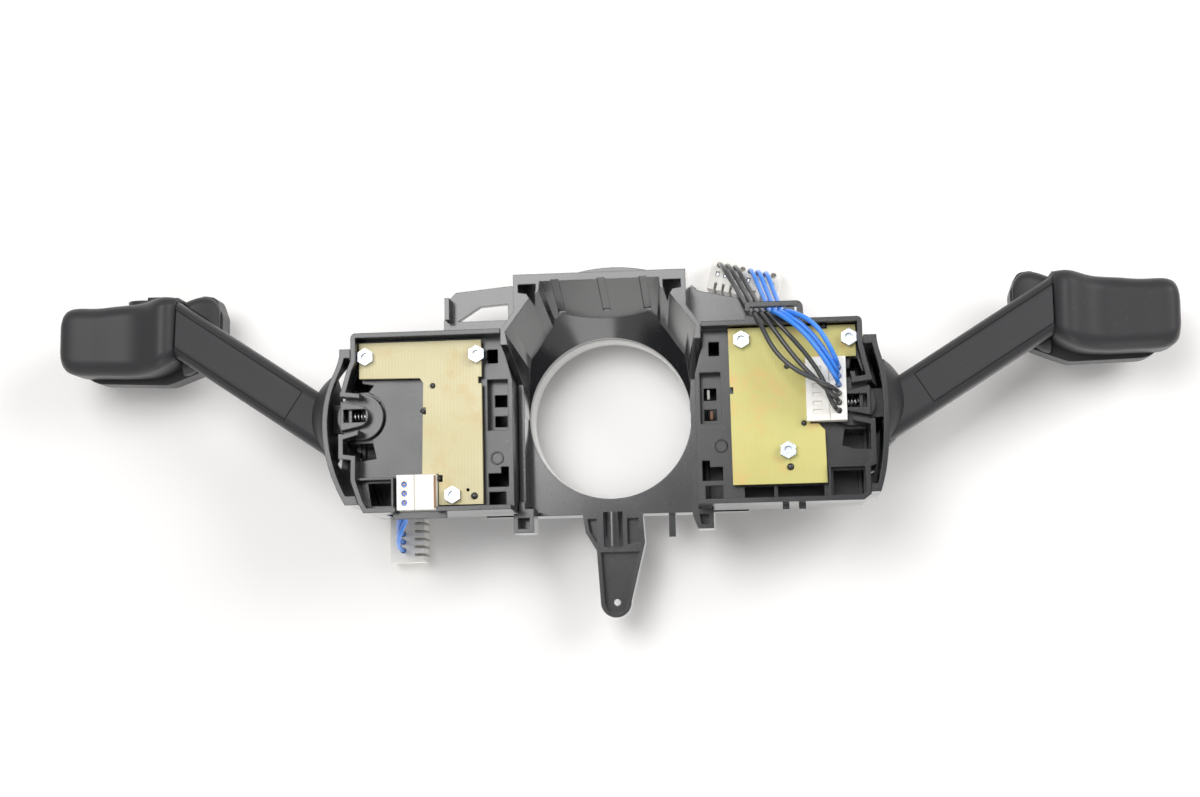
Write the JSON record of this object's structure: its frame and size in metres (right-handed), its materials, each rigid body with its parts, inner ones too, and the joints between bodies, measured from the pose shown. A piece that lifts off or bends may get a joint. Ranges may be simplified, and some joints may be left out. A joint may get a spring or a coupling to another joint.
{
  "type": "combination stalk switch",
  "caption": "Steering column combination switch: bored centre bracket with faceted funnel, open trays with boards, and a swinging lever with a rounded head on each side.",
  "frame": {"origin": "on the column bore's axis, at the dash side of the bore plate", "axes": "+Z along the column towards the dash, +Y up in the car, +X to the right as seen from the dash side"},
  "size_m": [0.3347, 0.1097, 0.0592],
  "materials": {
    "black_plastic": "satin",
    "grip_plastic": "matte",
    "board": "satin",
    "connector_plastic": "satin",
    "white_plastic": "satin",
    "ring_plastic": "satin",
    "zinc_steel": "zinc plated",
    "spring_steel": "bright",
    "blue_wire": "satin",
    "black_wire": "satin"
  },
  "bodies": {
    "root": {"collar_bracket": "black_plastic", "front_plate": "black_plastic", "front_plate_screws": "zinc_steel", "left_switch_housing": "black_plastic", "left_front_cover": "black_plastic", "left_end_bezel": "black_plastic", "left_circuit_board": "board", "left_board_screws": "zinc_steel", "left_edge_connector": "connector_plastic", "left_pivot_pin": "zinc_steel", "right_switch_housing": "black_plastic", "right_front_cover": "black_plastic", "right_end_bezel": "black_plastic", "right_circuit_board": "board", "right_board_screws": "zinc_steel", "right_edge_connector": "connector_plastic", "right_pivot_pin": "zinc_steel", "upper_plug": "connector_plastic", "lower_plug": "connector_plastic", "right_blue_wire_1": "blue_wire", "right_blue_wire_2": "blue_wire", "right_blue_wire_3": "blue_wire", "right_black_wire_1": "black_wire", "right_black_wire_2": "black_wire", "right_black_wire_3": "black_wire", "left_blue_wire_1": "blue_wire", "left_blue_wire_2": "blue_wire", "left_blue_wire_3": "blue_wire"},
    "cancel_ring": {"cancel_ring": "ring_plastic"},
    "left_carrier": {"left_carrier": "black_plastic", "left_hinge_pin": "zinc_steel", "left_return_spring": "spring_steel", "left_detent_spring": "spring_steel"},
    "left_lever": {"left_shank": "black_plastic", "left_cuff": "grip_plastic", "left_arm": "grip_plastic", "left_arm_panel": "grip_plastic", "left_head_back": "grip_plastic", "left_head_front": "grip_plastic"},
    "left_slider": {"left_contact_slider": "white_plastic"},
    "left_plunger": {"left_detent_plunger": "white_plastic"},
    "right_carrier": {"right_carrier": "black_plastic", "right_hinge_pin": "zinc_steel", "right_return_spring": "spring_steel", "right_detent_spring": "spring_steel"},
    "right_lever": {"right_shank": "black_plastic", "right_cuff": "grip_plastic", "right_arm": "grip_plastic", "right_arm_panel": "grip_plastic", "right_head_back": "grip_plastic", "right_head_front": "grip_plastic"},
    "right_slider": {"right_contact_slider": "white_plastic"},
    "right_plunger": {"right_detent_plunger": "white_plastic"},
    "left_dial": {"left_dial": "grip_plastic"}
  },
  "joints": [
    {"name": "cancel_ring_turn", "type": "hinge", "parent": "root", "child": "cancel_ring", "pos_m": [0, 0, -0.0063], "axis": [0, 0, 1], "continuous": true},
    {"name": "left_stalk_swing", "type": "hinge", "parent": "root", "child": "left_carrier", "pos_m": [-0.0715, 0, 0.015], "axis": [0, 0, 1], "range_deg": [-6.5, 6.5]},
    {"name": "left_stalk_pull", "type": "hinge", "parent": "left_carrier", "child": "left_lever", "pos_m": [-0.0715, 0, 0.015], "axis": [0, -1, 0], "range_deg": [-3, 5], "stiffness_Nm_per_rad": 8},
    {"name": "left_slider_slide", "type": "slide", "parent": "root", "child": "left_slider", "axis": [0, 1, 0], "range_m": [-0.0017, 0.0017]},
    {"name": "left_plunger_slide", "type": "slide", "parent": "left_carrier", "child": "left_plunger", "axis": [-1, 0, 0], "range_m": [0, 0.0006], "stiffness_N_per_m": 300, "springref_m": -0.001},
    {"name": "right_stalk_swing", "type": "hinge", "parent": "root", "child": "right_carrier", "pos_m": [0.0715, 0, 0.015], "axis": [0, 0, 1], "range_deg": [-6.5, 6.5]},
    {"name": "right_stalk_pull", "type": "hinge", "parent": "right_carrier", "child": "right_lever", "pos_m": [0.0715, 0, 0.015], "axis": [0, 1, 0], "range_deg": [-3, 5], "stiffness_Nm_per_rad": 8},
    {"name": "right_slider_slide", "type": "slide", "parent": "root", "child": "right_slider", "axis": [0, 1, 0], "range_m": [-0.0017, 0.0017]},
    {"name": "right_plunger_slide", "type": "slide", "parent": "right_carrier", "child": "right_plunger", "axis": [1, 0, 0], "range_m": [0, 0.0006], "stiffness_N_per_m": 300, "springref_m": -0.001},
    {"name": "left_dial_turn", "type": "hinge", "parent": "left_lever", "child": "left_dial", "pos_m": [-0.14346, 0.03921, -0.002], "axis": [0.014, 0.9999, 0], "range_deg": [-20, 20]}
  ],
  "couplings": [
    {"joint": "left_slider_slide", "follows": "left_stalk_swing", "m_per_rad": 0.0145},
    {"joint": "right_slider_slide", "follows": "right_stalk_swing", "m_per_rad": -0.0145}
  ]
}
